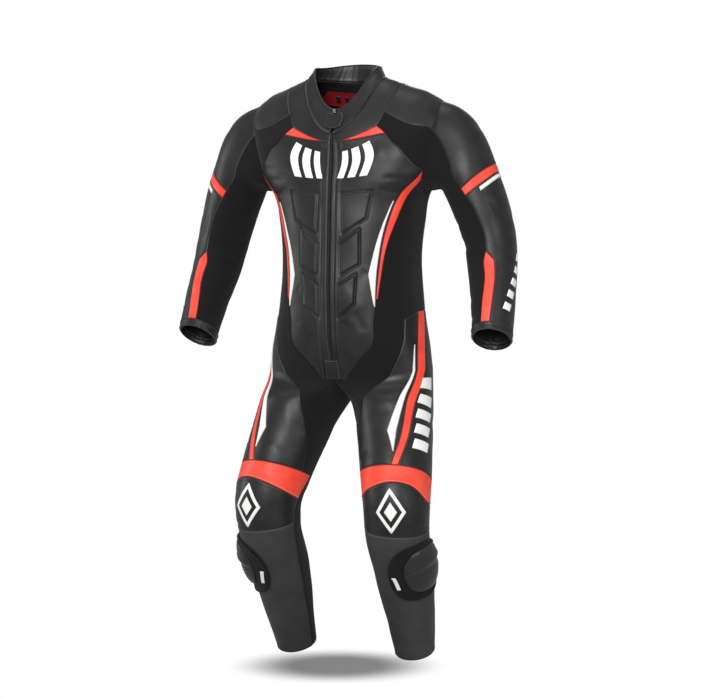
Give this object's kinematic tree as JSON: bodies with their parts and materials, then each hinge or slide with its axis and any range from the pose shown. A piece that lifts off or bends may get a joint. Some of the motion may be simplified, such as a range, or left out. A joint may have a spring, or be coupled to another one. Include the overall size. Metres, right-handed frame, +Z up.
{
  "type": "motorcycle race suit",
  "caption": "One-piece black leather riding suit with red stripes, a standing collar, pre-bent sleeves and legs and nylon knee sliders, filled out with no wearer.",
  "frame": {"origin": "between the wearer's shoulders, at the height of the base of the neck, where the worn suit is carried", "axes": "+Z up along the suit, -Y is the front with the zip, +X is the wearer's left"},
  "size_m": [0.8574, 0.32, 1.4205],
  "materials": {
    "black_leather": "pigmented black cowhide with a satin topcoat, about 1.2 mm, over a thin lining",
    "shin_leather": "matt black hook-and-loop ready leather panel of the shin",
    "red_leather": "fluorescent red pigmented leather, satin",
    "white_leather": "white pigmented leather inlay, satin",
    "stretch_fabric": "matt black ribbed aramid stretch fabric",
    "zip": "black zip tape with a moulded black chain",
    "slider_base": "black moulded backing with hook tape",
    "slider": "black moulded nylon, slightly glossy",
    "label": "woven red neck label"
  },
  "bodies": {
    "root": {"arm_band_left": "red_leather", "arm_band_right": "red_leather", "arm_bar_left": "white_leather", "arm_bar_right": "white_leather", "back": "black_leather", "chest_stripe_left": "red_leather", "chest_stripe_right": "red_leather", "chest_wedge_left": "white_leather", "chest_wedge_right": "white_leather", "collar": "black_leather", "collar_tab": "black_leather", "cuff_left": "black_leather", "cuff_right": "black_leather", "forearm_left": "black_leather", "forearm_right": "black_leather", "forearm_stripe_left": "red_leather", "forearm_stripe_right": "red_leather", "front_left": "black_leather", "front_right": "black_leather", "gusset_left": "stretch_fabric", "gusset_right": "stretch_fabric", "inner_arm_left": "stretch_fabric", "inner_arm_right": "stretch_fabric", "inner_leg_left": "stretch_fabric", "inner_leg_right": "stretch_fabric", "knee_band_left": "red_leather", "knee_band_right": "red_leather", "knee_left": "black_leather", "knee_right": "black_leather", "knee_slider_left": "slider", "knee_slider_right": "slider", "label": "label", "leg_back_left": "stretch_fabric", "leg_back_right": "stretch_fabric", "leg_stripe_left": "red_leather", "leg_stripe_right": "red_leather", "leg_wedge_left": "white_leather", "leg_wedge_right": "white_leather", "seat": "black_leather", "shin_left": "shin_leather", "shin_right": "shin_leather", "shoulder_left": "black_leather", "shoulder_right": "black_leather", "side_left": "stretch_fabric", "side_right": "stretch_fabric", "slider_base_left": "slider_base", "slider_base_right": "slider_base", "thigh_front_left": "black_leather", "thigh_front_right": "black_leather", "thigh_outer_left": "black_leather", "thigh_outer_right": "black_leather", "upper_arm_left": "black_leather", "upper_arm_right": "black_leather", "wing_left": "red_leather", "wing_right": "red_leather", "yoke": "black_leather", "zip": "zip", "zip_patch": "black_leather"}
  },
  "joints": []
}
